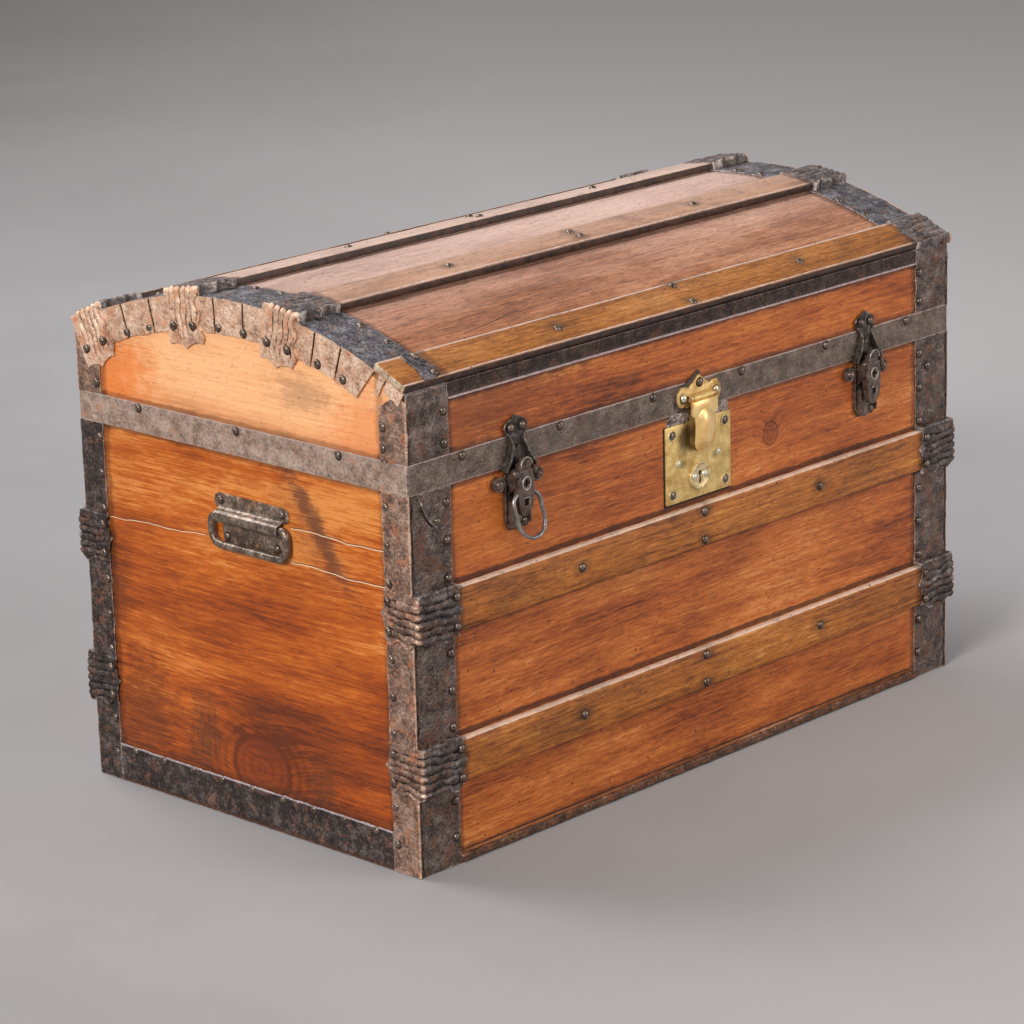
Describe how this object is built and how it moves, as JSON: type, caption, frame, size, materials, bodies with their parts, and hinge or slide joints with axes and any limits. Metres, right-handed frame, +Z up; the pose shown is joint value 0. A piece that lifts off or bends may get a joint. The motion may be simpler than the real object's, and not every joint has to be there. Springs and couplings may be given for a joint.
{
  "type": "dome top trunk",
  "caption": "Travelling trunk of varnished boards with a hinged domed lid, iron edging, clamped slats, hasp lock, lever latches and end handles.",
  "frame": {"origin": "middle of the underside, on the floor", "axes": "+X to the right along the front, -Y out of the front, +Z up"},
  "size_m": [0.8554, 0.512, 0.5501],
  "materials": {
    "case_wood": "old varnished softwood boards, reddish honey brown, satin",
    "bottom_wood": "unvarnished softwood, dull",
    "slat_wood": "varnished hardwood slats, golden brown with worn pale edges",
    "edging_iron": "thin sheet iron with dark brown rust and worn edges",
    "clamp_iron": "dark rusty iron with worn ridges",
    "hardware_iron": "dark grey brown iron, rubbed bright on its edges",
    "nail_steel": "dark steel, round heads rubbed bright",
    "brass": "aged brass, dull with brighter rubbed edges"
  },
  "bodies": {
    "base": {"bottom_board": "bottom_wood", "front_board": "case_wood", "back_board": "case_wood", "left_end_board": "case_wood", "right_end_board": "case_wood", "corner_iron_front_left": "edging_iron", "corner_iron_front_right": "edging_iron", "corner_iron_back_left": "edging_iron", "corner_iron_back_right": "edging_iron", "end_sill_irons": "edging_iron", "foot_strips": "edging_iron", "front_slat_upper": "slat_wood", "front_slat_lower": "slat_wood", "back_slat_upper": "slat_wood", "back_slat_lower": "slat_wood", "front_slat_clamps": "clamp_iron", "back_slat_clamps": "clamp_iron", "base_nails": "nail_steel", "lock_plate": "brass", "lock_case": "hardware_iron", "lock_escutcheon": "brass", "lock_screws": "nail_steel", "lock_rivets": "brass", "left_latch_base": "hardware_iron", "right_latch_base": "hardware_iron", "latch_pins": "hardware_iron", "left_handle_plate": "hardware_iron", "right_handle_plate": "hardware_iron", "handle_nails": "nail_steel", "hinge_base_leaves": "hardware_iron", "hinge_pins": "hardware_iron"},
    "lid": {"lid_back_board": "case_wood", "lid_band": "edging_iron", "lid_corner_irons": "edging_iron", "lid_front_board": "case_wood", "lid_left_dome_iron": "edging_iron", "lid_left_end_board": "case_wood", "lid_nails": "nail_steel", "lid_right_dome_iron": "edging_iron", "lid_right_end_board": "case_wood", "lid_shoulder_irons": "edging_iron", "lid_slat_back": "slat_wood", "lid_slat_back_shoulder": "slat_wood", "lid_slat_clamps": "clamp_iron", "lid_slat_front": "slat_wood", "lid_slat_front_shoulder": "slat_wood", "lid_slat_tab": "clamp_iron", "lid_top_boards": "case_wood", "hinge_lid_leaves": "hardware_iron", "latch_catches": "hardware_iron", "hasp_crown": "brass", "hasp_pin": "brass"},
    "hasp": {"hasp_tongue": "brass"},
    "left_lever": {"left_latch_lever": "hardware_iron"},
    "right_lever": {"right_latch_lever": "hardware_iron"},
    "ring": {"left_latch_ring": "hardware_iron"},
    "left_bail": {"left_handle_bail": "hardware_iron"},
    "right_bail": {"right_handle_bail": "hardware_iron"},
    "bolt": {"lock_bolt": "hardware_iron"}
  },
  "joints": [
    {"name": "lid_hinge", "type": "hinge", "parent": "base", "child": "lid", "pos_m": [0, 0.2425, 0.385], "axis": [-1, 0, 0], "range_deg": [0, 100]},
    {"name": "hasp_swing", "type": "hinge", "parent": "lid", "child": "hasp", "pos_m": [0, -0.24285, 0.399], "axis": [-1, 0, 0], "range_deg": [0, 140]},
    {"name": "left_lever_swing", "type": "hinge", "parent": "base", "child": "left_lever", "pos_m": [-0.27, -0.255, 0.383], "axis": [-1, 0, 0], "range_deg": [0, 115]},
    {"name": "right_lever_swing", "type": "hinge", "parent": "base", "child": "right_lever", "pos_m": [0.27, -0.255, 0.383], "axis": [-1, 0, 0], "range_deg": [0, 115]},
    {"name": "ring_swing", "type": "hinge", "parent": "left_lever", "child": "ring", "pos_m": [-0.27, -0.2495, 0.358], "axis": [-1, 0, 0], "range_deg": [0, 90]},
    {"name": "left_bail_swing", "type": "hinge", "parent": "base", "child": "left_bail", "pos_m": [-0.42125, -0.017, 0.321], "axis": [0, 1, 0], "range_deg": [0, 95]},
    {"name": "right_bail_swing", "type": "hinge", "parent": "base", "child": "right_bail", "pos_m": [0.42125, -0.017, 0.321], "axis": [0, -1, 0], "range_deg": [0, 95]},
    {"name": "bolt_slide", "type": "slide", "parent": "base", "child": "bolt", "axis": [1, 0, 0], "range_m": [0, 0.009]}
  ]
}
